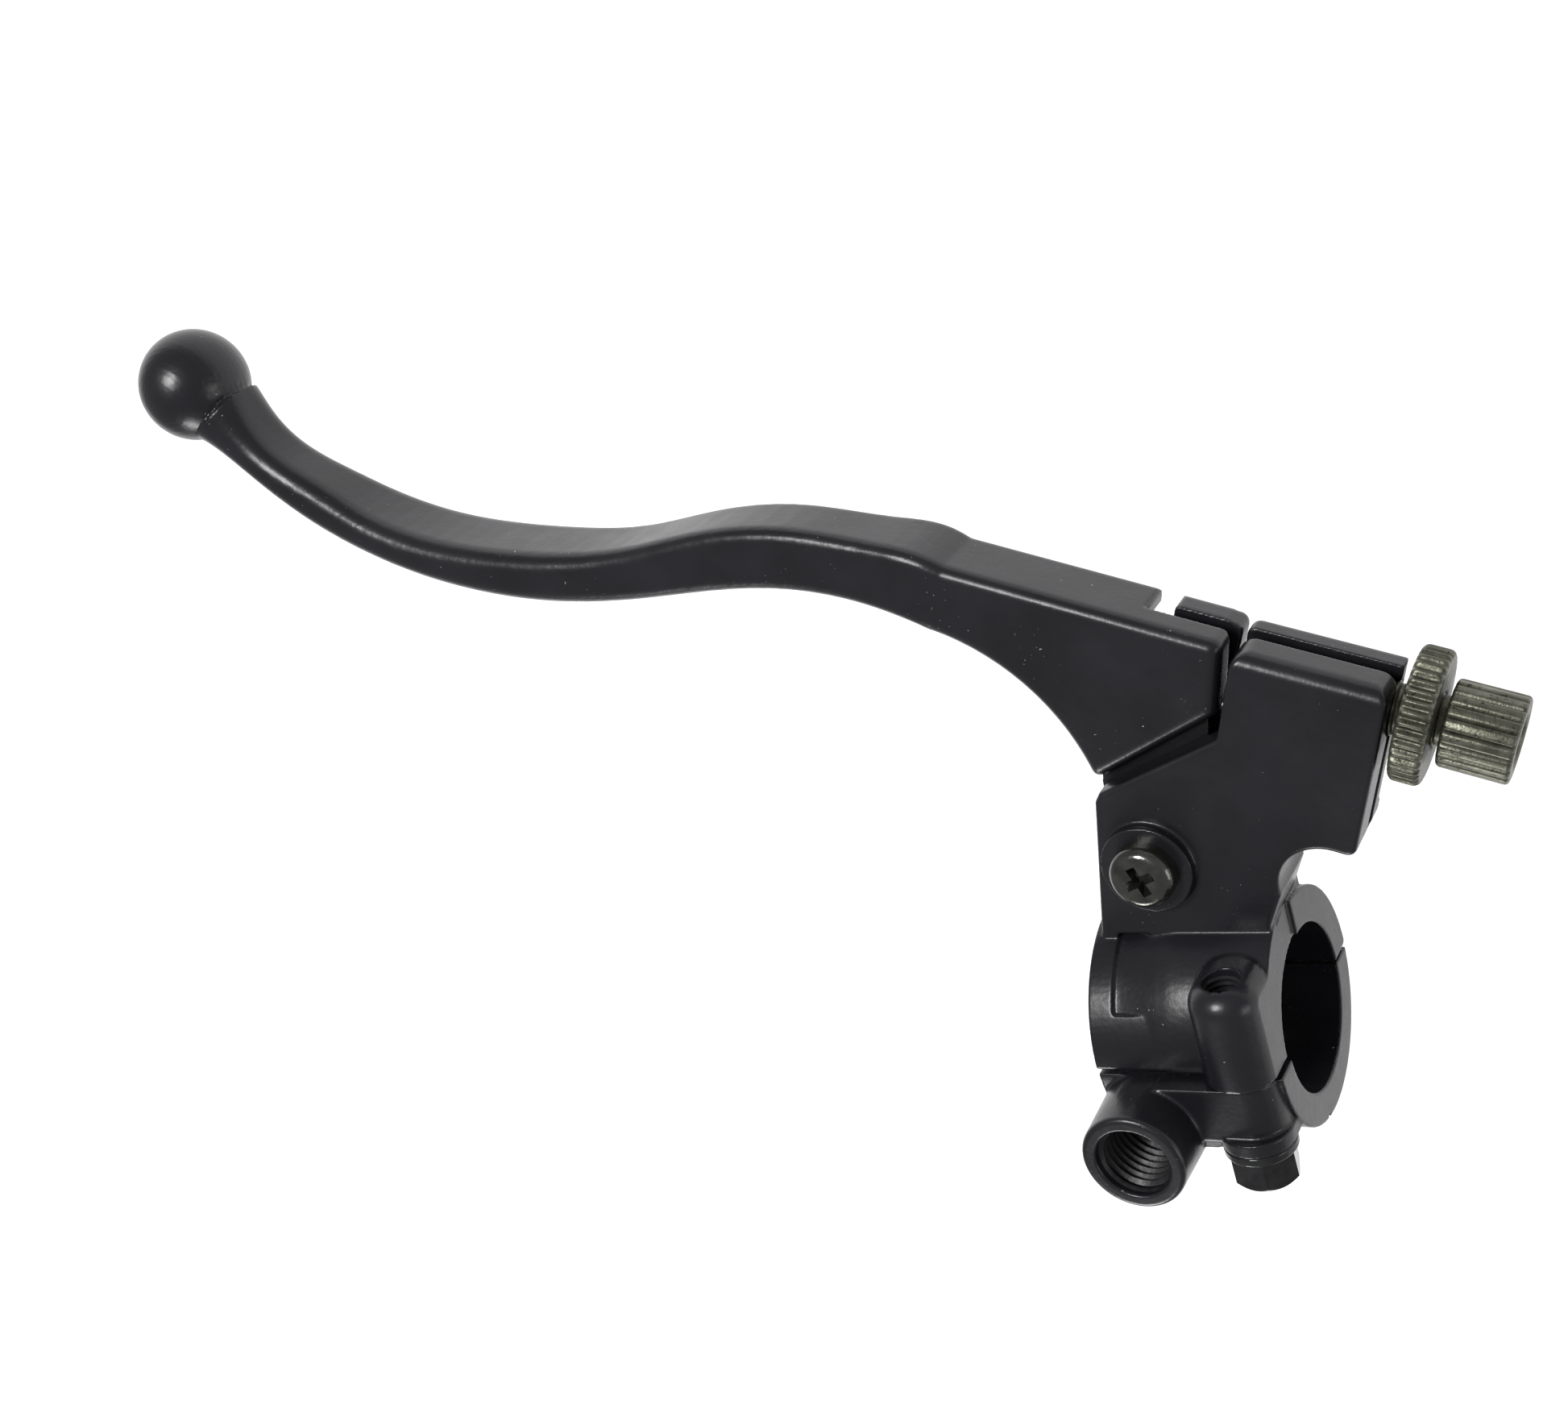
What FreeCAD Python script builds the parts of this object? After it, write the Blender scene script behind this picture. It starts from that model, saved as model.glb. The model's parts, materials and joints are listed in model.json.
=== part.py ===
import FreeCAD, Part
import math
import os

V = FreeCAD.Vector

# ---- Frame: origin at the centre of the handlebar bore, +X along the bar toward
# ---- the cable adjuster, +Y from the bar toward the lever, +Z along the pivot axis.

# Handlebar clamp (axis X)
BAR_R = 11.1
CLAMP_HALF_W = 12.5
RING_R = 15.5
SADDLE_R = 15.7
SADDLE_RISE = 0.35
NEAR_GAP = 0.6
FAR_GAP = 0.4
END_STEP = 0.5
SPLIT_BEVEL = 0.45

SWELL_RISE = 1.2
PANEL_LEFT = -9.1
SWELL_FULL = 0.0
PANEL_DEPTH = 0.45

# Clamp bolts (axis Y)
NEAR_BOLT_X = 7.4
FAR_BOLT_X = 0.0
BOLT_Z = 15.0
BOLT_SHANK_R = 2.45
BOLT_HOLE_R = 2.5
BOLT_CLEARANCE_R = 2.75
BOLT_HEAD_AF = 8.0
BOLT_HEAD_H = 4.4
BOLT_TURN = 14.0
BOLT_REACH = 9.0
WASHER_R = 4.85
WASHER_T = 1.3
COLUMN_R = 4.75
COLUMN_TOP = 14.0
COLUMN_CROWN = 3.2
COLUMN_ROOT_Z = 11.4
PAD_R = 4.85
PAD_BOTTOM = -9.9
PAD_TOP = -7.9
SPOT_FACE_R = 5.3
NECK_RIGHT = 11.8
WEB_FRONT = 18.5
WEB_LEAN = 1.0

# Mirror boss (axis Z)
MIRROR_X = -6.1
MIRROR_Y = -7.6
MIRROR_TOP = 25.0
MIRROR_FOOT = 3.0
MIRROR_TOP_R = 6.95
MIRROR_FOOT_R = 7.5
MIRROR_HOLE_R = 5.0
MIRROR_HOLE_DEPTH = 12.0
MIRROR_MOUTH = 0.2
MIRROR_RELIEF_R = 15.4

# Lever pivot (axis Z)
PIVOT_X = -2.08
PIVOT_Y = 25.67
PIVOT_SHANK_R = 2.95
PIVOT_THREAD_R = 2.45
PIVOT_BORE_R = 3.0
PIVOT_BOSS_R = 6.1
PIVOT_BOSS_H = 1.5
SCREW_HEAD_R = 4.3
SCREW_HEAD_H = 2.85
CROSS_W = 1.3
NUT_AF = 8.0
NUT_H = 4.0

# Fork plates, thickness along Z
NEAR_FACE = 6.54
NECK_FAR_FACE = -6.2
FAR_FACE = -4.6
SLOT_HALF = 1.1
POCKET_HALF = 3.1
TONGUE_HALF = 2.9

# Adjuster axis in the XY plane: point and downward tilt
ADJ_X = 32.2
ADJ_Y = 42.26
ADJ_TILT = math.radians(20.9)
END_SETBACK = 1.35
END_ROUND = 1.2
FORK_LEFT = -20.4
FORK_FRONT = 5.1
SLOT_FLOOR = -15.4
END_SLOT_FLOOR = -17.2
THREAD_R = 3.45
THREAD_BORE_R = 3.5
LOCK_R = 8.4
LOCK_T = 3.9
BARREL_R = 5.4
BARREL_L = 8.6
BARREL_START = 4.9
BARREL_TAIL = -11.0
HOUSING_BORE_R = 3.1
HOUSING_BORE_L = 7.0
CABLE_BORE_R = 1.4

# Lever
BALL_X = -136.15
BALL_Y = 107.4
BALL_R = 8.2
LEVER_HALF = 5.6
LEVER_SLOT_LOW = -1.3
LEVER_SLOT_HIGH = 1.0
NIPPLE_X = 2.8
NIPPLE_Y = 53.16
NIPPLE_R = 3.55
NIPPLE_GATE = 2.8
GATE_CENTRE = -31.2
GATE_FRONT = 5.4
GATE_ROUND = 0.9
LIP_END = -20.95
EYE_R = 7.0

COS_T = math.cos(ADJ_TILT)
SIN_T = math.sin(ADJ_TILT)

# Concave arc under the fork; the fork's lower edge runs on from its top
ARC_X = 19.9
ARC_Y = 21.3
ARC_R = 5.85
FORK_BOTTOM = (ARC_X - ADJ_X) * SIN_T + (ARC_Y - ADJ_Y) * COS_T + ARC_R


def fork(a, n, z=0.0):
    """Point given by distance along and across the adjuster axis."""
    return V(ADJ_X + a * COS_T + n * SIN_T, ADJ_Y - a * SIN_T + n * COS_T, z)


def box(x0, x1, y0, y1, z0, z1):
    return Part.makeBox(x1 - x0, y1 - y0, z1 - z0, V(x0, y0, z0))


def cylinder(radius, start, axis, length):
    return Part.makeCylinder(radius, length, start, axis)


def along_x(radius, x0, x1, y=0.0, z=0.0):
    return cylinder(radius, V(x0, y, z), V(1, 0, 0), x1 - x0)


def along_y(radius, x, z, y0, y1):
    return cylinder(radius, V(x, y0, z), V(0, 1, 0), y1 - y0)


def along_z(radius, x, y, z0, z1):
    return cylinder(radius, V(x, y, z0), V(0, 0, 1), z1 - z0)


def along_adjuster(radius, a0, a1):
    return cylinder(radius, fork(a0, 0), V(COS_T, -SIN_T, 0), a1 - a0)


def slab(points, z0, z1):
    """Closed polygon in the XY plane, raised from z0 to z1."""
    wire = Part.makePolygon([V(p.x, p.y, z0) for p in points + points[:1]])
    return Part.Face(wire).extrude(V(0, 0, z1 - z0))


def hexagon(across_flats, centre, axis, height):
    """Hexagonal prism with its lower face centred on a point."""
    radius = across_flats / math.sqrt(3)
    ring = [V(radius * math.cos(math.radians(60 * k)), radius * math.sin(math.radians(60 * k)), 0)
            for k in range(7)]
    prism = Part.Face(Part.makePolygon(ring)).extrude(V(0, 0, height))
    turn = FreeCAD.Rotation(V(0, 0, 1), axis)
    prism.Placement = FreeCAD.Placement(centre, turn)
    return prism


def edges_where(shape, keep):
    return [edge for edge in shape.Edges if keep(edge)]


def edge_mid(edge):
    return edge.valueAt((edge.FirstParameter + edge.LastParameter) / 2)


def fillet_where(shape, radius, keep):
    """Round the chosen edges."""
    chosen = edges_where(shape, keep)
    return shape.makeFillet(radius, chosen)


def vertical(edge):
    start, end = edge.Vertexes[0].Point, edge.Vertexes[-1].Point
    return abs(start.x - end.x) < 0.01 and abs(start.y - end.y) < 0.01 and abs(start.z - end.z) > 0.1


def flat_at(edge, z):
    return all(abs(v.Point.z - z) < 0.01 for v in edge.Vertexes) and abs(edge_mid(edge).z - z) < 0.01


# ---- Bracket ----

def arc_point(angle):
    """Point on the concave arc, angle in degrees counted from the fork's across direction."""
    turn = math.radians(90 + angle) - ADJ_TILT
    return V(ARC_X + ARC_R * math.cos(turn), ARC_Y + ARC_R * math.sin(turn), 0)


def plate_wire(upper):
    """Closed outline: the given upper points, then round the concave arc to the neck."""
    right = arc_point(0)
    left = arc_point(118)
    arc = Part.Arc(right, arc_point(59), left)
    chain = [left, V(NECK_RIGHT, 16.0, 0), V(NECK_RIGHT, 12.0, 0)] + upper + [right]
    return Part.Wire([Part.makePolygon(chain).Edges[k] for k in range(len(chain) - 1)] + [arc.toShape()])


def plate_slab(upper, z0, z1):
    face = Part.Face(plate_wire(upper))
    face.translate(V(0, 0, z0))
    return face.extrude(V(0, 0, z1 - z0))


def upper_outline(right_end):
    """Fork plate seen along Z, up the left edge, along the front and down the end."""
    return [
        V(-12.1, 12.0, 0),
        V(-7.45, 34.9, 0),
        V(-6.6, 36.1, 0),
        fork(FORK_LEFT, -7.1),
        fork(FORK_LEFT, FORK_FRONT),
        fork(right_end, FORK_FRONT),
        fork(right_end, FORK_BOTTOM),
    ]


def round_corner(plate, corner, radius):
    """Round the upright edge standing at a point of the outline."""
    return fillet_where(plate, radius, lambda e: vertical(e) and flat_distance(edge_mid(e), corner) < 0.1)


def flat_distance(a, b):
    return math.hypot(a.x - b.x, a.y - b.y)


def near_plate():
    plate = plate_slab(upper_outline(-END_SETBACK), SLOT_HALF, NEAR_FACE)
    plate = round_corner(plate, fork(-END_SETBACK, FORK_BOTTOM), END_ROUND)
    plate = fillet_where(plate, 0.6, lambda e: flat_at(e, NEAR_FACE) and not on_front(e) and edge_mid(e).y > 16)
    return fillet_where(plate, 2.1, lambda e: flat_at(e, NEAR_FACE) and on_front(e))


def far_plate():
    plate = plate_slab(upper_outline(-END_SETBACK), FAR_FACE, -SLOT_HALF)
    plate = round_corner(plate, fork(-END_SETBACK, FORK_BOTTOM), END_ROUND)
    plate = round_corner(plate, fork(FORK_LEFT, FORK_FRONT), 1.0)
    return fillet_where(plate, 1.5, lambda e: flat_at(e, FAR_FACE) and (on_front(e) or on_end(e)))


def on_end(edge):
    """True for edges lying on the fork's end face."""
    mid = edge_mid(edge)
    along = (mid.x - ADJ_X) * COS_T - (mid.y - ADJ_Y) * SIN_T
    return abs(along + END_SETBACK) < 0.05


def fork_core():
    """Solid between the plates: bottom web, stop wall and the neck down to the clamp."""
    upper = [
        V(-12.1, 12.0, 0),
        V(-7.45, 34.9, 0),
        V(-6.6, 36.1, 0),
        V(11.0, 36.9, 0),
        fork(-7, SLOT_FLOOR),
        fork(-END_SETBACK, SLOT_FLOOR),
        fork(-END_SETBACK, FORK_BOTTOM),
    ]
    core = plate_slab(upper, FAR_FACE, NEAR_FACE - 1)
    return round_corner(core, fork(-END_SETBACK, FORK_BOTTOM), END_ROUND)


def far_cheek():
    """Thicker far wall round the pivot and down the neck."""
    outline = [
        V(-12.1, 10.0, 0),
        V(-7.45, 34.9, 0),
        V(-6.6, 36.1, 0),
        V(5.6, 41.0, 0),
        V(12.0, 30.0, 0),
        V(13.2, 22.0, 0),
        V(NECK_RIGHT, 16.0, 0),
        V(NECK_RIGHT, 10.0, 0),
    ]
    return slab(outline, NECK_FAR_FACE, FAR_FACE + 0.5)


def tongue_pocket():
    """Room for the lever tongue, open to the left and the top."""
    outline = [
        V(-30, PIVOT_Y - EYE_R - 0.5, 0),
        V(PIVOT_X, PIVOT_Y - EYE_R - 0.5, 0),
        V(PIVOT_X + 5.4, PIVOT_Y - EYE_R + 1.0, 0),
        V(PIVOT_X + EYE_R + 0.9, PIVOT_Y - 1.5, 0),
        V(10.3, 42.6, 0),
        V(10.3, 60.0, 0),
        V(-30, 60.0, 0),
    ]
    return slab(outline, -POCKET_HALF, POCKET_HALF)


def saddle_ring():
    """Upper half of the handlebar clamp, above Y = 0."""
    ring = along_x(SADDLE_R, -CLAMP_HALF_W, CLAMP_HALF_W, SADDLE_RISE)
    ring = ring.cut(box(-20, 20, -30, 0, -30, 30))
    bevel_near = slab_yz([(0, SADDLE_R - SPLIT_BEVEL), (0, 20), (SPLIT_BEVEL, 20), (SPLIT_BEVEL, SADDLE_R)])
    bevel_far = slab_yz([(0, SPLIT_BEVEL - SADDLE_R), (0, -20), (SPLIT_BEVEL, -20), (SPLIT_BEVEL, -SADDLE_R)])
    return ring.cut(bevel_near).cut(bevel_far)


def slab_yz(points):
    """Polygon in the YZ plane carried along the whole clamp width."""
    corners = [V(-15, y, z) for y, z in points + points[:1]]
    return Part.Face(Part.makePolygon(corners)).extrude(V(30, 0, 0))


def bolt_column(x, side):
    """Threaded column beside the bar, with a rounded top."""
    column = along_y(COLUMN_R, x, side * BOLT_Z, 0, COLUMN_TOP)
    root = along_y(COLUMN_R, x, side * COLUMN_ROOT_Z, 0, COLUMN_TOP)
    low, high = sorted((side * COLUMN_ROOT_Z, side * BOLT_Z))
    bridge = box(x - COLUMN_R, x + COLUMN_R, 0, COLUMN_TOP, low, high)
    column = column.fuse([root, bridge]).removeSplitter()
    return fillet_where(column, COLUMN_CROWN, lambda e: all(abs(v.Point.y - COLUMN_TOP) < 0.01 for v in e.Vertexes))


def swell_body():
    """Saddle outline that starts sunk at the panel step and grows thicker toward the right."""
    sections = [(0.0, 0.0), (0.3, 0.25), (0.65, 0.75), (1.0, 1.0)]
    wires = []
    for along, share in sections:
        x = PANEL_LEFT + along * (SWELL_FULL - PANEL_LEFT)
        rise = SADDLE_RISE + share * (SWELL_RISE - SADDLE_RISE)
        radius = SADDLE_R - PANEL_DEPTH * (1 - share)
        wires.append(Part.Wire(Part.makeCircle(radius, V(x, rise, 0), V(1, 0, 0))))
    full = along_x(SADDLE_R, SWELL_FULL, CLAMP_HALF_W, SWELL_RISE)
    return Part.makeLoft(wires, True, False).fuse(full)


def saddle_swell():
    """The near side of the saddle, thicker toward the neck."""
    return swell_body().common(box(-20, 20, 0, 20, 5.0, 20))


def face_panel():
    """Recess on the front of the clamp, deepest at its left step and fading out to the right."""
    window = box(PANEL_LEFT, SWELL_FULL, 7.5, 15.3, 4.0, 18.0)
    return window.cut(swell_body())


def parting_step():
    """Near half of the right end face sits a little behind the far half."""
    return box(CLAMP_HALF_W - END_STEP, 20, 0, 16.6, 0, 30)


def perch_bracket():
    body = near_plate().fuse([far_plate(), fork_core(), far_cheek(), saddle_ring(), saddle_swell(),
                      bolt_column(NEAR_BOLT_X, 1), bolt_column(FAR_BOLT_X, -1)])
    body = body.fuse(along_z(PIVOT_BOSS_R, PIVOT_X, PIVOT_Y, NEAR_FACE - 2, NEAR_FACE + PIVOT_BOSS_H))
    body = body.cut(tongue_pocket())
    slot = [fork(-32, SLOT_FLOOR), fork(-7, SLOT_FLOOR), fork(-3, END_SLOT_FLOOR), fork(3, END_SLOT_FLOOR),
            fork(3, 8), fork(-32, 8)]
    body = body.cut(slab(slot, -SLOT_HALF, SLOT_HALF))
    body = body.cut(along_adjuster(THREAD_BORE_R, BARREL_TAIL - 4, 5))
    body = body.cut(along_x(BAR_R, -20, 20))
    body = body.cut(along_z(PIVOT_BORE_R, PIVOT_X, PIVOT_Y, -3.5, 10))
    body = body.cut(along_z(PIVOT_THREAD_R + 0.05, PIVOT_X, PIVOT_Y, -10, 0))
    body = body.cut(along_y(BOLT_HOLE_R, NEAR_BOLT_X, BOLT_Z, -1, 20))
    body = body.cut(along_y(BOLT_HOLE_R, FAR_BOLT_X, -BOLT_Z, -1, 20))
    body = body.cut(face_panel())
    body = body.cut(parting_step())
    return one_solid(body)


def on_front(edge):
    """True for edges lying on the front face of the fork."""
    mid = edge_mid(edge)
    across = (mid.x - ADJ_X) * SIN_T + (mid.y - ADJ_Y) * COS_T
    return abs(across - FORK_FRONT) < 0.05


def one_solid(shape):
    """Merge leftover seams and return the single solid."""
    shape = shape.removeSplitter()
    if len(shape.Solids) != 1:
        raise RuntimeError("expected one solid, found %d" % len(shape.Solids))
    return shape.Solids[0]


# ---- Cap ----

def cap_ring():
    """Lower half of the clamp, with its split plane tilted between the two gaps."""
    ring = along_x(RING_R, -CLAMP_HALF_W, CLAMP_HALF_W)
    above = slab_yz([(-FAR_GAP, -30), (-NEAR_GAP, 0), (-NEAR_GAP, 30), (30, 30), (30, -30)])
    return ring.cut(above)


def cap_ear(x, side, inner):
    """Bolt ear with its round seat for the washer."""
    top = -NEAR_GAP if side > 0 else -FAR_GAP
    front = sorted((side * 8.0, side * WEB_FRONT))
    ear = box(x - inner, x + 0.2, PAD_TOP - 0.5, top, front[0], front[1])
    rounded = along_y(COLUMN_R - 0.35, x, side * (WEB_FRONT - COLUMN_R + 0.35), PAD_TOP - 0.5, top)
    bridge = sorted((side * 8.0, side * (WEB_FRONT - COLUMN_R + 0.35)))
    side_wall = box(x, x + COLUMN_R - 0.35, PAD_TOP - 0.5, top, bridge[0], bridge[1])
    pad = along_y(PAD_R, x, side * BOLT_Z, PAD_BOTTOM, PAD_TOP)
    pad_bridge = sorted((side * 6.0, side * BOLT_Z))
    root = box(x - PAD_R, x + PAD_R, PAD_BOTTOM, PAD_TOP, pad_bridge[0], pad_bridge[1])
    return ear.fuse([rounded, side_wall, pad, root])


def pad_web():
    """Leaning web below the ear that ties the near pad to the mirror boss."""
    outline = [(PAD_TOP + 0.4, 8.0), (PAD_TOP + 0.4, WEB_FRONT), (PAD_BOTTOM - 0.2, WEB_FRONT - WEB_LEAN),
               (PAD_BOTTOM - 0.2, 8.0)]
    return slab_yz(outline).common(box(-5.0, NEAR_BOLT_X - 2.4, -20, 0, 5, 20))


def mirror_boss():
    height = MIRROR_TOP - MIRROR_FOOT
    boss = Part.makeCone(MIRROR_FOOT_R, MIRROR_TOP_R, height, V(MIRROR_X, MIRROR_Y, MIRROR_FOOT))
    return fillet_where(boss, 0.7, lambda e: abs(edge_mid(e).z - MIRROR_TOP) < 0.01 and e.Closed)


def clamp_cap():
    body = cap_ring().fuse([cap_ear(NEAR_BOLT_X, 1, 11.3), cap_ear(FAR_BOLT_X, -1, COLUMN_R - 0.35),
                            pad_web(), mirror_boss()])
    above = slab_yz([(-FAR_GAP, -30), (-NEAR_GAP, 0), (-NEAR_GAP, 30), (30, 30), (30, -30)])
    body = body.cut(above)
    body = body.cut(along_x(BAR_R, -30, 30))
    body = body.cut(along_x(MIRROR_RELIEF_R, -30, -CLAMP_HALF_W))
    hole_bottom = MIRROR_TOP - MIRROR_HOLE_DEPTH
    body = body.cut(along_z(MIRROR_HOLE_R, MIRROR_X, MIRROR_Y, hole_bottom, 30))
    body = body.cut(Part.makeCone(MIRROR_HOLE_R, MIRROR_HOLE_R + 2 * MIRROR_MOUTH, 2 * MIRROR_MOUTH,
                                  V(MIRROR_X, MIRROR_Y, MIRROR_TOP - MIRROR_MOUTH)))
    body = body.cut(along_y(BOLT_CLEARANCE_R, NEAR_BOLT_X, BOLT_Z, -20, 2))
    body = body.cut(along_y(BOLT_CLEARANCE_R, FAR_BOLT_X, -BOLT_Z, -20, 2))
    for x, z in ((NEAR_BOLT_X, BOLT_Z), (FAR_BOLT_X, -BOLT_Z)):
        body = body.cut(along_y(SPOT_FACE_R, x, z, -20, PAD_BOTTOM))
    notch = slab_yz([(-RING_R + 1.1, 3.2), (-RING_R - 1, 2.4), (-RING_R - 1, 4.6)])
    body = body.cut(notch.common(box(11, 20, -20, 0, 0, 10)))
    return one_solid(body)


# ---- Lever ----

# Blade stations from the root to the ball: centre x, centre y, width, half thickness, corner radius
STATIONS = [
    (-22.44, 64.11, 9.55, 5.6, 1.6),
    (-31.2, 68.2, 9.1, 5.45, 1.7),
    (-42.9, 71.35, 8.9, 5.25, 1.8),
    (-55.5, 72.25, 8.6, 5.45, 1.9),
    (-68.1, 71.75, 7.6, 5.8, 2.1),
    (-79.9, 72.6, 7.3, 6.5, 2.4),
    (-91.0, 74.75, 6.9, 6.7, 2.6),
    (-102.3, 78.4, 6.1, 6.65, 2.7),
    (-111.8, 83.2, 6.0, 6.2, 2.75),
    (-118.7, 87.85, 6.5, 5.5, 2.9),
    (-125.3, 93.5, 5.9, 5.1, 2.8),
    (-129.4, 98.8, 7.3, 5.2, 3.4),
    (-131.9, 102.6, 10.7, 5.8, 5.1),
]
ROOT_ACROSS = V(0.425, 0.905, 0).normalize()
ROOT_LAP = 0.04
ROOT_FRONT = V(13.55, 54.9, 0)
ROOT_CORNER = V(10.8, 45.5, 0)
ROOT_SHOULDER = V(-7.3, 37.3, 0)
ROOT_HOLLOW = V(-13.8, 51.4, 0)


def station_across(k):
    """Unit vector across the blade at a station, pointing to its front edge."""
    if k == 0:
        return ROOT_ACROSS
    before = STATIONS[k - 1]
    after = STATIONS[min(k + 1, len(STATIONS) - 1)]
    run = V(after[0] - before[0], after[1] - before[1], 0).normalize()
    return V(run.y, -run.x, 0)


def station_wire(k):
    """Rounded rectangle across the blade at one station; the first one laps the root block."""
    x, y, width, half, radius = STATIONS[k]
    if k == 0:
        width += 2 * ROOT_LAP
        half += ROOT_LAP
    across = station_across(k)
    w = width / 2
    cut = radius * (1 - math.sqrt(0.5))

    def at(u, z):
        return V(x, y, 0) + across * u + V(0, 0, z)

    edges = []
    for su, sz in ((1, 1), (-1, 1), (-1, -1), (1, -1)):
        side = at(su * w, sz * (half - radius))
        face = at(su * (w - radius), sz * half)
        corner = at(su * (w - cut), sz * (half - cut))
        if su * sz > 0:
            edges.append(Part.makeLine(at(su * w, -sz * (half - radius)), side))
            edges.append(Part.Arc(side, corner, face).toShape())
        else:
            edges.append(Part.makeLine(at(-su * (w - radius), sz * half), face))
            edges.append(Part.Arc(face, corner, side).toShape())
    return Part.Wire(edges)


def root_block():
    """Thick end of the lever facing the bracket."""
    centre = V(STATIONS[0][0], STATIONS[0][1], 0)
    rear = centre - ROOT_ACROSS * (STATIONS[0][2] / 2)
    front = centre + ROOT_ACROSS * (STATIONS[0][2] / 2)
    wire = Part.Wire([Part.makeLine(front, ROOT_FRONT), Part.makeLine(ROOT_FRONT, ROOT_CORNER),
                      Part.makeLine(ROOT_CORNER, ROOT_SHOULDER),
                      Part.Arc(ROOT_SHOULDER, ROOT_HOLLOW, rear).toShape(), Part.makeLine(rear, front)])
    face = Part.Face(wire)
    face.translate(V(0, 0, -LEVER_HALF))
    block = face.extrude(V(0, 0, 2 * LEVER_HALF))
    for corner, radius in ((ROOT_FRONT, 1.4), (ROOT_CORNER, 1.8), (ROOT_SHOULDER, 0.9)):
        block = fillet_where(block, radius, lambda e: vertical(e) and (edge_mid(e) - corner).Length < 0.1)
    return fillet_where(block, STATIONS[0][4], lambda e: on_rim(e, centre))


def on_rim(edge, joint):
    """Edges of the top and bottom faces, except those at the blade joint."""
    mid = edge_mid(edge)
    flat = V(mid.x, mid.y, 0)
    return not vertical(edge) and abs(abs(mid.z) - LEVER_HALF) < 0.01 and (flat - joint).Length > 0.2


def tongue():
    """Thin tongue that reaches into the fork and turns on the pivot screw."""
    outline = [V(-6.6, 40.2, 0), V(9.3, 46.5, 0), V(8.9, 44.0, 0), V(PIVOT_X + EYE_R - 0.35, PIVOT_Y + 2, 0),
               V(PIVOT_X, PIVOT_Y, 0), V(PIVOT_X - EYE_R + 0.3, PIVOT_Y + 2, 0)]
    plate = slab(outline, -TONGUE_HALF, TONGUE_HALF)
    return plate.fuse(along_z(EYE_R, PIVOT_X, PIVOT_Y, -TONGUE_HALF, TONGUE_HALF))


def far_lip():
    """The far side of the root reaches a little further toward the bracket."""
    outline = [fork(-25, 4.9), fork(LIP_END, 4.9), fork(LIP_END - 0.4, -4.5), fork(-25, -4.5)]
    lip = slab(outline, -LEVER_HALF, LEVER_SLOT_LOW)
    corner = fork(LIP_END, 4.9, (LEVER_SLOT_LOW - LEVER_HALF) / 2)
    lip = fillet_where(lip, 1.3, lambda e: vertical(e) and (edge_mid(e) - corner).Length < 0.1)
    return fillet_where(lip, 1.2, lambda e: flat_at(e, -LEVER_HALF) and (edge_mid(e) - corner).Length < 5.6)


def gate_mouth(left, right, front):
    """Opening in the front face whose two corners are rounded off."""
    left_edge, right_edge = left - GATE_ROUND, right + GATE_ROUND
    mouth = slab([fork(left_edge, front - GATE_ROUND), fork(right_edge, front - GATE_ROUND),
                  fork(right_edge, front + 4), fork(left_edge, front + 4)], -10, LEVER_SLOT_HIGH)
    for along in (left_edge, right_edge):
        centre = fork(along, front - GATE_ROUND)
        mouth = mouth.cut(along_z(GATE_ROUND, centre.x, centre.y, -12, 12))
    return mouth


def cable_cuts():
    """Nipple bore from the far side, its gate to the front, and the cable slot."""
    bore = along_z(NIPPLE_R, NIPPLE_X, NIPPLE_Y, -10, LEVER_SLOT_HIGH)
    left, right = GATE_CENTRE - NIPPLE_GATE / 2, GATE_CENTRE + NIPPLE_GATE / 2
    gate = slab([fork(left, 0), fork(right, 0), fork(right, 9), fork(left, 9)], -10, LEVER_SLOT_HIGH)
    mouth = gate_mouth(left, right, GATE_FRONT)
    start = GATE_CENTRE - 1.0
    slot = slab([fork(start, -2.4), fork(start + 20, -2.4), fork(start + 20, 9), fork(start, 9)],
                LEVER_SLOT_LOW, LEVER_SLOT_HIGH)
    return bore.fuse([gate, mouth, slot])


def lever_blade():
    blade = Part.makeLoft([station_wire(k) for k in range(len(STATIONS))], True, False)
    ball = Part.makeSphere(BALL_R, V(BALL_X, BALL_Y, 0))
    body = root_block().fuse([far_lip(), blade, ball, tongue()])
    body = body.cut(cable_cuts())
    body = body.cut(along_z(PIVOT_BORE_R + 0.02, PIVOT_X, PIVOT_Y, -10, 10))
    return one_solid(body)


# ---- Hardware ----

def pivot_screw():
    """Pan head, plain shank through the lever, thread into the far cheek and nut."""
    seat = NEAR_FACE + PIVOT_BOSS_H
    head = along_z(SCREW_HEAD_R, PIVOT_X, PIVOT_Y, seat, seat + SCREW_HEAD_H)
    head = fillet_where(head, 1.4, lambda e: abs(edge_mid(e).z - seat - SCREW_HEAD_H) < 0.01)
    shank = along_z(PIVOT_SHANK_R, PIVOT_X, PIVOT_Y, -3.4, seat)
    thread = along_z(PIVOT_THREAD_R, PIVOT_X, PIVOT_Y, NECK_FAR_FACE - NUT_H - 1.2, -3.4)
    body = head.fuse([shank, thread])
    return one_solid(body.cut(phillips_recess(seat + SCREW_HEAD_H)))


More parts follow.
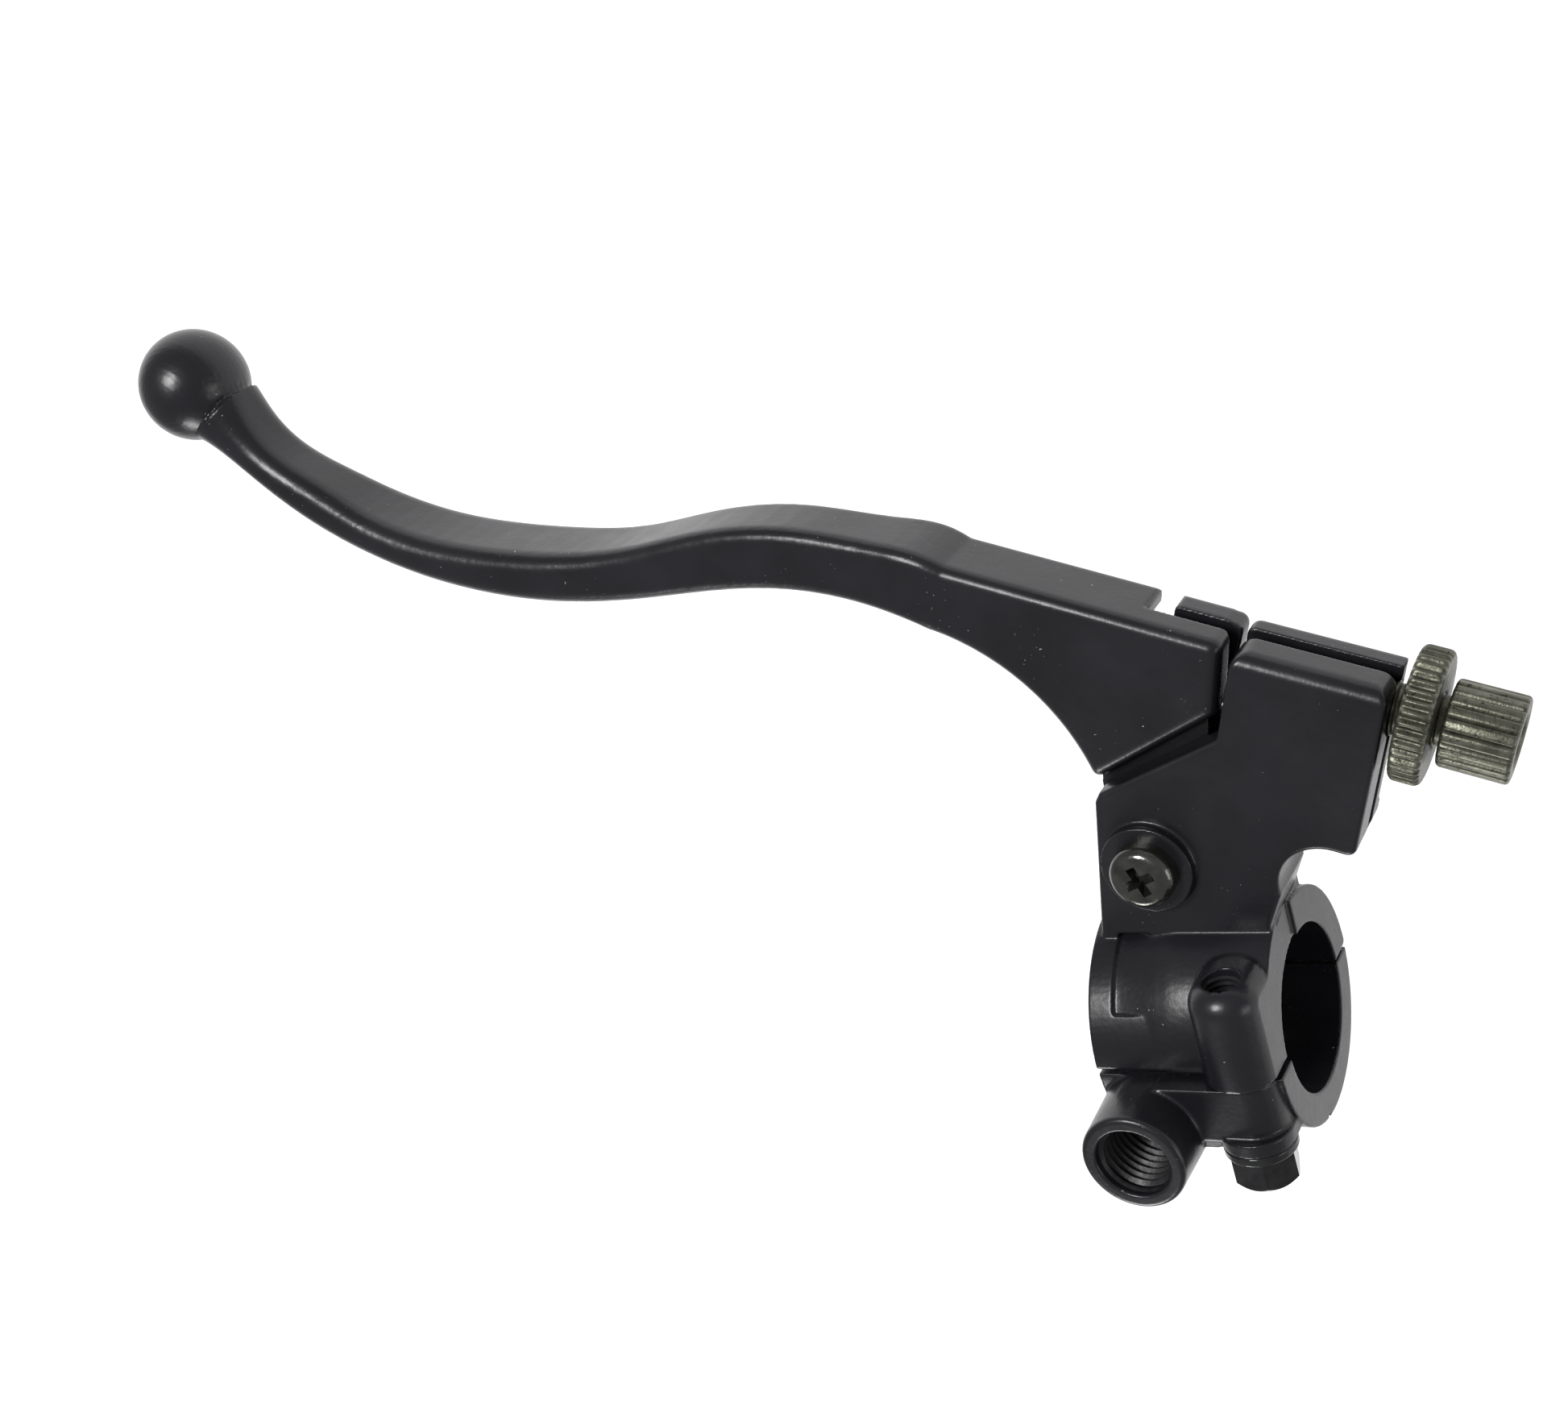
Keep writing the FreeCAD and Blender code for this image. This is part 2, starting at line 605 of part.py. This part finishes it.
def phillips_recess(top):
    """Cross recess with tapering wings."""
    arms = []
    for turn in (0, 90):
        outline = [V(-2.2, 0, top + 0.1), V(2.2, 0, top + 0.1), V(1.0, 0, top - 1.9), V(-1.0, 0, top - 1.9)]
        arm = Part.Face(Part.makePolygon(outline + outline[:1])).extrude(V(0, CROSS_W, 0))
        arm.translate(V(0, -CROSS_W / 2, 0))
        arm.rotate(V(0, 0, 0), V(0, 0, 1), turn + 22)
        arm.translate(V(PIVOT_X, PIVOT_Y, 0))
        arms.append(arm)
    return arms[0].fuse(arms[1])


def pivot_nut():
    nut = hexagon(NUT_AF, V(PIVOT_X, PIVOT_Y, NECK_FAR_FACE - NUT_H), V(0, 0, 1), NUT_H)
    return nut.cut(along_z(PIVOT_THREAD_R + 0.03, PIVOT_X, PIVOT_Y, -20, 0))


def clamp_bolt(x, z):
    """Hex bolt up through the cap into the bracket column."""
    seat = PAD_BOTTOM - WASHER_T
    head = hexagon(BOLT_HEAD_AF, V(x, seat - BOLT_HEAD_H, z), V(0, 1, 0), BOLT_HEAD_H)
    head.rotate(V(x, 0, z), V(0, 1, 0), -BOLT_TURN)
    crown = Part.makeCone(BOLT_HEAD_AF / 2 - 0.1, BOLT_HEAD_AF / 2 + 1.2, 1.3,
                          V(x, seat - BOLT_HEAD_H, z), V(0, 1, 0))
    crown = crown.fuse(along_y(BOLT_HEAD_AF / 2 + 1.2, x, z, seat - BOLT_HEAD_H + 1.3, seat))
    return head.common(crown).fuse(along_y(BOLT_SHANK_R, x, z, seat, BOLT_REACH)).removeSplitter()


def spring_washer(x, z):
    """Split lock washer; the cut runs outward on the side away from the bar."""
    low = PAD_BOTTOM - WASHER_T
    washer = along_y(WASHER_R, x, z, low, PAD_BOTTOM)
    washer = fillet_where(washer, 0.3, lambda e: e.Closed)
    washer = washer.cut(along_y(BOLT_CLEARANCE_R, x, z, low - 1, PAD_BOTTOM + 1))
    split = box(x - 0.35, x + 0.35, low - 1, PAD_BOTTOM + 1, min(z, z + math.copysign(6, z)),
                max(z, z + math.copysign(6, z)))
    split.rotate(V(x, 0, z), V(0, 1, 0), -70)
    return washer.cut(split)


def adjuster_barrel():
    body = along_adjuster(BARREL_R, BARREL_START, BARREL_START + BARREL_L)
    body = body.makeChamfer(0.5, [e for e in body.Edges if e.Closed])
    body = body.fuse(along_adjuster(THREAD_R, BARREL_TAIL, BARREL_START))
    end = BARREL_START + BARREL_L
    body = body.cut(along_adjuster(HOUSING_BORE_R, end - HOUSING_BORE_L, end + 1))
    body = body.cut(along_adjuster(CABLE_BORE_R, BARREL_TAIL - 1, end))
    return body.removeSplitter()


def adjuster_lock_ring():
    ring = along_adjuster(LOCK_R, 0.0, LOCK_T)
    ring = fillet_where(ring, 0.7, lambda e: e.Closed)
    return ring.cut(along_adjuster(THREAD_R + 0.03, -1, LOCK_T + 1))


PARTS = {
    "perch_bracket": perch_bracket,
    "clamp_cap": clamp_cap,
    "lever_blade": lever_blade,
    "pivot_screw": pivot_screw,
    "pivot_nut": pivot_nut,
    "near_clamp_bolt": lambda: clamp_bolt(NEAR_BOLT_X, BOLT_Z),
    "far_clamp_bolt": lambda: clamp_bolt(FAR_BOLT_X, -BOLT_Z),
    "near_spring_washer": lambda: spring_washer(NEAR_BOLT_X, BOLT_Z),
    "far_spring_washer": lambda: spring_washer(FAR_BOLT_X, -BOLT_Z),
    "adjuster_barrel": adjuster_barrel,
    "adjuster_lock_ring": adjuster_lock_ring,
}

os.makedirs("parts", exist_ok=True)
for name, make in PARTS.items():
    shape = make()
    print(name, "valid", shape.isValid(), "solids", len(shape.Solids), "volume", round(shape.Volume, 1))
    shape.exportStep("parts/%s.step" % name)
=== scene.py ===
import json
import math

import bmesh
import bpy
from mathutils import Matrix, Vector


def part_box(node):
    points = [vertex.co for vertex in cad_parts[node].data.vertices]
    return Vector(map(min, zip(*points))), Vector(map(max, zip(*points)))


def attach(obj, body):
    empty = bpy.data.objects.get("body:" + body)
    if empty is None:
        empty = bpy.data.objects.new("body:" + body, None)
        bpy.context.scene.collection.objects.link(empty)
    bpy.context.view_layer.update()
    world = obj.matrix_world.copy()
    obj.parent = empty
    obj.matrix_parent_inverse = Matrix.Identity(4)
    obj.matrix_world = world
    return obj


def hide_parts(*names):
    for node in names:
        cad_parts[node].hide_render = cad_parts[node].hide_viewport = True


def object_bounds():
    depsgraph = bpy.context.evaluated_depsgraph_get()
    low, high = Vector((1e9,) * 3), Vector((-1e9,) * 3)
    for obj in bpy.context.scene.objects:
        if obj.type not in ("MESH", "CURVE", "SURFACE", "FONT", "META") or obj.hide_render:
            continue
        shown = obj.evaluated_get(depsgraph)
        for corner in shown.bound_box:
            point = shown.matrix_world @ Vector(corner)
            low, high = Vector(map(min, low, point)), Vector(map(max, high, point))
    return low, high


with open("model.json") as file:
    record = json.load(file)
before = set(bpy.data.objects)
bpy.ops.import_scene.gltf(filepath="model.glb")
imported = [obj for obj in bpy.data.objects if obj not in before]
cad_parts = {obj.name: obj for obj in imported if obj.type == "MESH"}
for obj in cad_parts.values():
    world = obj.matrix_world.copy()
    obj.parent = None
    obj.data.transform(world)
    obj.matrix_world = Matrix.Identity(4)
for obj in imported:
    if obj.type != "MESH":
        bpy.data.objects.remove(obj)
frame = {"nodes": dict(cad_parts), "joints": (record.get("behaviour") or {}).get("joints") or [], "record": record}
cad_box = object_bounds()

MM = 0.001
nodes = frame["nodes"]
joints = {joint["name"]: joint for joint in frame["joints"]}

# ---- Places read from the frame, in metres ----

mounts = {mount["name"]: mount for mount in frame["record"]["mounts"]}
ADJ_ORIGIN = Vector(joints["lock_ring_spin"]["pos_m"])
ADJ_AXIS = Vector(joints["lock_ring_spin"]["axis"]).normalized()
MIRROR = Vector(mounts["mirror_thread"]["pos_m"])
BOLT_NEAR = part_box("near_clamp_bolt")
BOLT_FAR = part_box("far_clamp_bolt")

# ---- Camera, metres and degrees ----

CAMERA_PLACE = Vector((0.10807, 0.15832, 0.23442))
CAMERA_RIGHT = Vector((0.84744, -0.28462, -0.44815))
CAMERA_VIEW = Vector((-0.5281, -0.3624, -0.7679))
LENS_MM = 50.67
SENSOR_MM = 36.0

FLOOR_DROP = 0.12
FLOOR_SIZE = 6.0
FLOOR_GLOW = 0.18
WORLD_COLOUR = (0.96, 0.97, 1.0, 1)
WORLD_STRENGTH = 0.34

# Soft lights: name, direction, distance and size in metres, power in watts
LIGHT_AIM = Vector((-0.03, 0.04, 0))
LIGHTS = [
    ("key_above", (-0.18, 0.50, 0.84), 1.3, 0.42, 15),
    ("front_low", (-0.35, -0.90, 0.42), 1.3, 0.40, 7),
    ("side_right", (0.95, -0.2, 0.25), 1.4, 0.6, 3),
]

# Rounding of the castings: voxel size of the remesh and rounds of smoothing
SKIN_VOXELS = {"perch_bracket": 0.20 * MM, "clamp_cap": 0.20 * MM, "lever_blade": 0.26 * MM}
SKIN_ROUNDS = 2

# Thread ridge: steps per turn, half widths as shares of the pitch, and depth sunk in the wall
RIDGE_STEPS = 36
RIDGE_FOOT = 0.47
RIDGE_TOP = 0.07
RIDGE_SUNK = 0.12 * MM


# ---- Node helpers ----

def new_material(name):
    material = bpy.data.materials.new(name)
    material.use_nodes = True
    tree = material.node_tree
    shader = tree.nodes["Principled BSDF"]
    return material, tree, shader


def add(tree, kind, **settings):
    """Adds a shader node and sets its properties."""
    node = tree.nodes.new(kind)
    for key, value in settings.items():
        setattr(node, key, value)
    return node


def noise(tree, scale, detail=3.0, roughness=0.5):
    """Object-space noise; scale is features per metre."""
    place = add(tree, "ShaderNodeTexCoord")
    texture = add(tree, "ShaderNodeTexNoise")
    texture.inputs["Scale"].default_value = scale
    texture.inputs["Detail"].default_value = detail
    texture.inputs["Roughness"].default_value = roughness
    tree.links.new(place.outputs["Object"], texture.inputs["Vector"])
    return texture.outputs["Fac"]


def ramp(tree, source, stops):
    """Colour ramp; stops are (position, grey or colour)."""
    node = add(tree, "ShaderNodeValToRGB")
    elements = node.color_ramp.elements
    while len(elements) < len(stops):
        elements.new(0.5)
    for element, (position, colour) in zip(elements, stops):
        element.position = position
        if isinstance(colour, (int, float)):
            colour = (colour, colour, colour)
        element.color = (*colour, 1.0)
    tree.links.new(source, node.inputs["Fac"])
    return node.outputs["Color"]


def bump(tree, source, strength, distance, base=None):
    node = add(tree, "ShaderNodeBump")
    node.inputs["Strength"].default_value = strength
    node.inputs["Distance"].default_value = distance
    tree.links.new(source, node.inputs["Height"])
    if base is not None:
        tree.links.new(base, node.inputs["Normal"])
    return node.outputs["Normal"]


def mix(tree, factor, first, second):
    node = add(tree, "ShaderNodeMixRGB")
    tree.links.new(factor, node.inputs["Fac"])
    for socket, value in (("Color1", first), ("Color2", second)):
        if isinstance(value, tuple):
            node.inputs[socket].default_value = (*value, 1.0)
        else:
            tree.links.new(value, node.inputs[socket])
    return node.outputs["Color"]


# ---- Materials ----

def black_coat():
    """Satin black coating with a faint violet cast, fine orange peel and sparse dust specks."""
    material, tree, shader = new_material("black_coat")
    cloud = ramp(tree, noise(tree, 90, 4.0),
                 [(0.35, (0.0075, 0.0072, 0.0092)), (0.7, (0.0125, 0.0118, 0.0148))])
    specks = ramp(tree, noise(tree, 2600, 1.0, 0.4), [(0.765, 0.0), (0.80, 1.0)])
    rare = ramp(tree, noise(tree, 150, 1.0), [(0.5, 0.0), (0.62, 1.0)])
    dust = add(tree, "ShaderNodeMath", operation="MULTIPLY")
    tree.links.new(specks, dust.inputs[0])
    tree.links.new(rare, dust.inputs[1])
    colour = mix(tree, dust.outputs[0], cloud, (0.30, 0.29, 0.28))
    tree.links.new(colour, shader.inputs["Base Color"])
    rough = ramp(tree, noise(tree, 220, 5.0, 0.6), [(0.3, 0.25), (0.75, 0.33)])
    tree.links.new(rough, shader.inputs["Roughness"])
    peel = bump(tree, noise(tree, 1500, 2.0), 0.05, 0.0004)
    broad = bump(tree, noise(tree, 160, 2.0), 0.05, 0.0012, peel)
    tree.links.new(broad, shader.inputs["Normal"])
    shader.inputs["IOR"].default_value = 1.43
    return material


def olive_zinc():
    """Olive-grey zinc plating: half-gloss metal with cloudy passivation, small dark pits and painted shade
    darkening its grooves and crevices.
    """
    material, tree, shader = new_material("olive_zinc")
    cloud = ramp(tree, noise(tree, 420, 5.0, 0.62),
                 [(0.30, (0.070, 0.070, 0.052)), (0.52, (0.115, 0.115, 0.088)),
                  (0.75, (0.170, 0.166, 0.134))])
    pits = ramp(tree, noise(tree, 1900, 2.0), [(0.30, 1.0), (0.38, 0.0)])
    colour = mix(tree, pits, cloud, (0.030, 0.029, 0.021))
    # Painted shade: ambient occlusion darkens the base colour in grooves, flutes and crevices, where shade falls.
    hollow = add(tree, "ShaderNodeAmbientOcclusion")
    hollow.inputs["Distance"].default_value = 0.9 * MM
    painted_groove_shade = ramp(tree, hollow.outputs["AO"], [(0.25, 0.9), (0.75, 0.0)])
    colour = mix(tree, painted_groove_shade, colour, (0.014, 0.014, 0.010))
    tree.links.new(colour, shader.inputs["Base Color"])
    shader.inputs["Metallic"].default_value = 0.82
    rough = ramp(tree, noise(tree, 700, 4.0, 0.6), [(0.3, 0.30), (0.7, 0.46)])
    tree.links.new(rough, shader.inputs["Roughness"])
    grain = bump(tree, noise(tree, 3200, 3.0), 0.16, 0.0003)
    tree.links.new(grain, shader.inputs["Normal"])
    return material


def dark_zinc():
    """Darker, glossier plating of the pivot screw and its nut."""
    material, tree, shader = new_material("dark_zinc")
    cloud = ramp(tree, noise(tree, 500, 4.0), [(0.3, (0.065, 0.066, 0.058)), (0.75, (0.130, 0.130, 0.116))])
    tree.links.new(cloud, shader.inputs["Base Color"])
    shader.inputs["Metallic"].default_value = 0.9
    rough = ramp(tree, noise(tree, 650, 4.0, 0.6), [(0.3, 0.14), (0.75, 0.24)])
    tree.links.new(rough, shader.inputs["Roughness"])
    tree.links.new(bump(tree, noise(tree, 1400, 2.0), 0.10, 0.0003), shader.inputs["Normal"])
    return material


def black_steel():
    """Glossy black plated steel with faint smears."""
    material, tree, shader = new_material("black_steel")
    cloud = ramp(tree, noise(tree, 500, 4.0), [(0.3, (0.012, 0.012, 0.013)), (0.75, (0.030, 0.030, 0.031))])
    tree.links.new(cloud, shader.inputs["Base Color"])
    shader.inputs["Metallic"].default_value = 0.4
    rough = ramp(tree, noise(tree, 600, 4.0, 0.6), [(0.3, 0.10), (0.75, 0.20)])
    tree.links.new(rough, shader.inputs["Roughness"])
    dents = bump(tree, noise(tree, 900, 2.0), 0.08, 0.0003)
    tree.links.new(dents, shader.inputs["Normal"])
    return material


def thread_coat():
    """Darker, slightly rough black inside the threaded holes."""
    material, tree, shader = new_material("thread_coat")
    cloud = ramp(tree, noise(tree, 800, 4.0), [(0.3, (0.008, 0.008, 0.009)), (0.75, (0.022, 0.021, 0.023))])
    tree.links.new(cloud, shader.inputs["Base Color"])
    rough = ramp(tree, noise(tree, 1200, 3.0), [(0.3, 0.34), (0.75, 0.50)])
    tree.links.new(rough, shader.inputs["Roughness"])
    shader.inputs["Specular IOR Level"].default_value = 0.3
    tree.links.new(bump(tree, noise(tree, 2600, 2.0), 0.10, 0.0003), shader.inputs["Normal"])
    return material


def floor_paper():
    """Plain white studio paper."""
    material, tree, shader = new_material("floor_paper")
    tone = ramp(tree, noise(tree, 3, 2.0), [(0.3, 0.93), (0.7, 0.95)])
    tree.links.new(tone, shader.inputs["Base Color"])
    shader.inputs["Roughness"].default_value = 0.9
    shader.inputs["Emission Color"].default_value = (1.0, 1.0, 1.0, 1.0)
    shader.inputs["Emission Strength"].default_value = FLOOR_GLOW
    return material


# ---- Mesh helpers ----

def mesh_object(name, bm, material, angle=35):
    """Smooth-shaded object from a mesh, with edges above the angle kept sharp."""
    mesh = bpy.data.meshes.new(name)
    bm.normal_update()
    bm.to_mesh(mesh)
    bm.free()
    piece = bpy.data.objects.new(name, mesh)
    bpy.context.collection.objects.link(piece)
    mesh.materials.append(material)
    for polygon in mesh.polygons:
        polygon.use_smooth = True
    mesh.set_sharp_from_angle(angle=math.radians(angle))
    return piece


def axis_frame(axis):
    """Matrix whose Z column is the given direction."""
    return axis.to_track_quat("Z", "Y").to_matrix().to_4x4()


def helix_thread(name, material, origin, axis, radius, depth, pitch, length, inward):
    """One thread ridge wound on a cylinder: triangular profile, closed ends sunk in the wall."""
    turns = length / pitch
    count = int(turns * RIDGE_STEPS)
    sign = -1 if inward else 1
    profile = [(-sign * RIDGE_SUNK, -RIDGE_FOOT * pitch), (sign * depth, -RIDGE_TOP * pitch),
               (sign * depth, RIDGE_TOP * pitch), (-sign * RIDGE_SUNK, RIDGE_FOOT * pitch)]
    bm = bmesh.new()
    rings = []
    for k in range(count + 1):
        angle = 2 * math.pi * k / RIDGE_STEPS
        fade = min(1.0, k / (0.5 * RIDGE_STEPS), (count - k) / (0.5 * RIDGE_STEPS))
        ring = []
        for out, along in profile:
            reach = out * fade if out * sign > 0 else out
            r = radius + reach
            height = k * pitch / RIDGE_STEPS + along
            ring.append(bm.verts.new((r * math.cos(angle), r * math.sin(angle), height)))
        rings.append(ring)
    for low, high in zip(rings, rings[1:]):
        for j in range(4):
            i = (j + 1) % 4
            bm.faces.new((low[j], low[i], high[i], high[j]))
    bm.faces.new(rings[0])
    bm.faces.new(list(reversed(rings[-1])))
    bmesh.ops.recalc_face_normals(bm, faces=bm.faces)
    bm.transform(Matrix.Translation(origin) @ axis_frame(axis))
    return mesh_object(name, bm, material, angle=50)


def toothed_ring(bm, profile, teeth, depth, per_tooth, tooth_shape):
    """Revolved closed profile whose outer points swell with the teeth.

    profile points are (along, radius, share): share is how much of the tooth depth applies."""
    count = teeth * per_tooth
    rings = []
    for k in range(count):
        angle = 2 * math.pi * k / count
        lift = tooth_shape((k % per_tooth) / per_tooth)
        ring = []
        for along, radius, share in profile:
            r = radius - depth * share * (1 - lift)
            ring.append(bm.verts.new((r * math.cos(angle), r * math.sin(angle), along)))
        rings.append(ring)
    size = len(profile)
    for k in range(count):
        near = rings[k]
        far = rings[(k + 1) % count]
        for j in range(size):
            i = (j + 1) % size
            bm.faces.new((near[j], near[i], far[i], far[j]))
    bmesh.ops.recalc_face_normals(bm, faces=bm.faces)


def round_tooth(t):
    """Height of a tooth across one pitch, 0 in the valley and 1 on the crest."""
    return 0.5 - 0.5 * math.cos(2 * math.pi * t)


def flat_tooth(t):
    """Broad crest with a narrow rounded valley."""
    return min(1.0, 1.35 * math.sin(math.pi * t) ** 0.8)


# ---- Pieces ----

LOCK_R = 8.4 * MM
LOCK_T = 3.9 * MM
LOCK_BORE = 3.48 * MM
LOCK_TEETH = 38
LOCK_TOOTH = 0.60 * MM
LOCK_EDGE = 0.85 * MM

BARREL_R = 5.4 * MM
BARREL_START = 4.9 * MM
BARREL_END = 13.5 * MM
BARREL_TAIL = -11.0 * MM
BARREL_FLUTES = 20
BARREL_FLUTE = 0.36 * MM
BARREL_EDGE = 0.55 * MM
MOUTH_BEVEL = 0.4 * MM
THREAD_R = 3.45 * MM
HOUSING_R = 3.1 * MM
HOUSING_L = 7.0 * MM
CABLE_R = 1.4 * MM
THREAD_PITCH = 1.0 * MM
THREAD_HEIGHT = 0.35 * MM
THREAD_ROOT = THREAD_R - 0.37 * MM

MIRROR_THREAD = {"radius": 5.0 * MM, "depth": 0.55 * MM, "pitch": 1.25 * MM, "length": 10.6 * MM}
MIRROR_THREAD_FOOT = 11.7 * MM
COLUMN_THREAD = {"radius": 2.5 * MM, "depth": 0.34 * MM, "pitch": 0.8 * MM, "length": 3.6 * MM}
COLUMN_THREAD_GAP = 0.6 * MM


def arc_profile(centre_along, centre_radius, size, start, end, steps, share):
    """Rounded corner as profile points, angles in degrees from the axis direction."""
    points = []
    for k in range(steps + 1):
        angle = math.radians(start + (end - start) * k / steps)
        along = centre_along + size * math.cos(angle)
        radius = centre_radius + size * math.sin(angle)
        points.append((along, radius, share(k / steps)))
    return points


def lock_ring(material):
    """Round lock ring with a straight knurl and rounded rims."""
    edge = LOCK_EDGE
    outer = LOCK_R - edge
    profile = [(0.0, LOCK_BORE, 0.0), (0.0, outer - 0.4 * MM, 0.0)]
    profile += arc_profile(edge, outer, edge, 180, 90, 5, lambda t: 0.25 + 0.75 * t)
    profile += arc_profile(LOCK_T - edge, outer, edge, 90, 0, 5, lambda t: 1.0 - 0.9 * t)
    profile += [(LOCK_T, outer - 0.4 * MM, 0.0), (LOCK_T, LOCK_BORE + 0.35 * MM, 0.0),
                (LOCK_T - 0.3 * MM, LOCK_BORE, 0.0)]
    bm = bmesh.new()
    toothed_ring(bm, profile, LOCK_TEETH, LOCK_TOOTH, 8, round_tooth)
    bm.transform(Matrix.Translation(ADJ_ORIGIN) @ axis_frame(ADJ_AXIS))
    piece = mesh_object("lock_ring_knurled", bm, material, angle=60)
    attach(piece, "lock_ring")
    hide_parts("adjuster_lock_ring")


def barrel(material):
    """Fluted barrel with its threaded shank, the housing bore and the cable hole."""
    edge = BARREL_EDGE
    outer = BARREL_R - edge
    profile = [(BARREL_TAIL, CABLE_R, 0.0), (BARREL_TAIL, THREAD_R - 0.55 * MM, 0.0),
               (BARREL_TAIL + 0.5 * MM, THREAD_R - 0.35 * MM, 0.0), (BARREL_START, THREAD_R - 0.35 * MM, 0.0),
               (BARREL_START, outer - 0.3 * MM, 0.0)]
    profile += arc_profile(BARREL_START + edge, outer, edge, 180, 90, 4, lambda t: 0.3 + 0.7 * t)
    profile += arc_profile(BARREL_END - edge, outer, edge, 90, 0, 4, lambda t: 1.0 - 0.8 * t)
    profile += [(BARREL_END, HOUSING_R + MOUTH_BEVEL, 0.0), (BARREL_END - MOUTH_BEVEL, HOUSING_R, 0.0),
                (BARREL_END - HOUSING_L, HOUSING_R, 0.0), (BARREL_END - HOUSING_L, CABLE_R, 0.0)]
    bm = bmesh.new()
    toothed_ring(bm, profile, BARREL_FLUTES, BARREL_FLUTE, 10, flat_tooth)
    bm.transform(Matrix.Translation(ADJ_ORIGIN) @ axis_frame(ADJ_AXIS))
    piece = mesh_object("adjuster_barrel_fluted", bm, material, angle=60)
    start = ADJ_ORIGIN + ADJ_AXIS * (BARREL_TAIL + 0.6 * MM)
    thread = helix_thread("adjuster_thread", material, start, ADJ_AXIS, THREAD_ROOT, THREAD_HEIGHT,
                          THREAD_PITCH, BARREL_START - BARREL_TAIL - 1.2 * MM, False)
    for each in (piece, thread):
        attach(each, "barrel")
    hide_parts("adjuster_barrel")


def hole_threads(material):
    """Thread ridges inside the mirror hole and the two bolt columns."""
    mirror_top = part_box("clamp_cap")[1][2]
    foot = Vector((MIRROR.x, MIRROR.y, mirror_top - MIRROR_THREAD_FOOT))
    up = Vector((0, 0, 1))
    pieces = [helix_thread("mirror_hole_thread", material, foot, up, inward=True, **MIRROR_THREAD)]
    for name, bounds in (("near_column_thread", BOLT_NEAR), ("far_column_thread", BOLT_FAR)):
        low, high = Vector(bounds[0]), Vector(bounds[1])
        middle = (low + high) / 2
        foot = Vector((middle.x, high.y + COLUMN_THREAD_GAP, middle.z))
        pieces.append(helix_thread(name, material, foot, Vector((0, 1, 0)), inward=True, **COLUMN_THREAD))
    for piece in pieces:
        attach(piece, "bracket")


def soften(node, voxel):
    """Rounds the sharp CAD edges of a casting with a fine remesh and light smoothing."""
    piece = nodes[node]
    remesh = piece.modifiers.new("cast_skin", "REMESH")
    remesh.mode = "VOXEL"
    remesh.voxel_size = voxel
    remesh.use_smooth_shade = True
    smooth = piece.modifiers.new("cast_rounding", "SMOOTH")
    smooth.factor = 0.5
    smooth.iterations = SKIN_ROUNDS


def set_material(node, material):
    piece = nodes[node]
    if not piece.material_slots:
        piece.data.materials.append(material)
    for each in piece.material_slots:
        each.material = material


# ---- Stage ----

def make_floor(material):
    bm = bmesh.new()
    bmesh.ops.create_grid(bm, x_segments=4, y_segments=4, size=FLOOR_SIZE / 2)
    bm.transform(Matrix.Translation((0, 0, cad_box[0][2] - FLOOR_DROP)))
    floor = mesh_object("floor", bm, material)


def area_light(name, direction, distance, size, power):
    """Square soft light shining at the bracket from a direction."""
    data = bpy.data.lights.new(name, "AREA")
    data.size = size
    data.energy = power
    light = bpy.data.objects.new(name, data)
    light.location = LIGHT_AIM + Vector(direction).normalized() * distance
    light.rotation_euler = (LIGHT_AIM - light.location).to_track_quat("-Z", "Y").to_euler()
    bpy.context.collection.objects.link(light)


def make_lights():
    for light in LIGHTS:
        area_light(*light)
    world = bpy.data.worlds.new("studio")
    bpy.context.scene.world = world
    world.use_nodes = True
    background = world.node_tree.nodes["Background"]
    background.inputs["Color"].default_value = WORLD_COLOUR
    background.inputs["Strength"].default_value = WORLD_STRENGTH


def make_camera():
    data = bpy.data.cameras.new("camera")
    data.lens = LENS_MM
    data.sensor_width = SENSOR_MM
    data.sensor_fit = "HORIZONTAL"
    data.clip_start = 0.01
    camera = bpy.data.objects.new("camera", data)
    back = -CAMERA_VIEW.normalized()
    right = (CAMERA_RIGHT - back * CAMERA_RIGHT.dot(back)).normalized()
    up = back.cross(right)
    turn = Matrix((right, up, back)).transposed().to_4x4()
    camera.matrix_world = Matrix.Translation(CAMERA_PLACE) @ turn
    bpy.context.collection.objects.link(camera)
    bpy.context.scene.camera = camera


def main():
    coat = black_coat()
    zinc = olive_zinc()
    steel = black_steel()
    inside = thread_coat()
    dark = dark_zinc()
    for node in ("perch_bracket", "clamp_cap", "lever_blade"):
        set_material(node, coat)
    for node in ("pivot_screw", "pivot_nut"):
        set_material(node, dark)
    for node in ("near_clamp_bolt", "far_clamp_bolt", "near_spring_washer", "far_spring_washer"):
        set_material(node, steel)
    for node, voxel in SKIN_VOXELS.items():
        soften(node, voxel)
    lock_ring(zinc)
    barrel(zinc)
    hole_threads(inside)
    make_floor(floor_paper())
    make_lights()
    make_camera()
    bpy.context.scene.view_settings.view_transform = "Standard"


main()
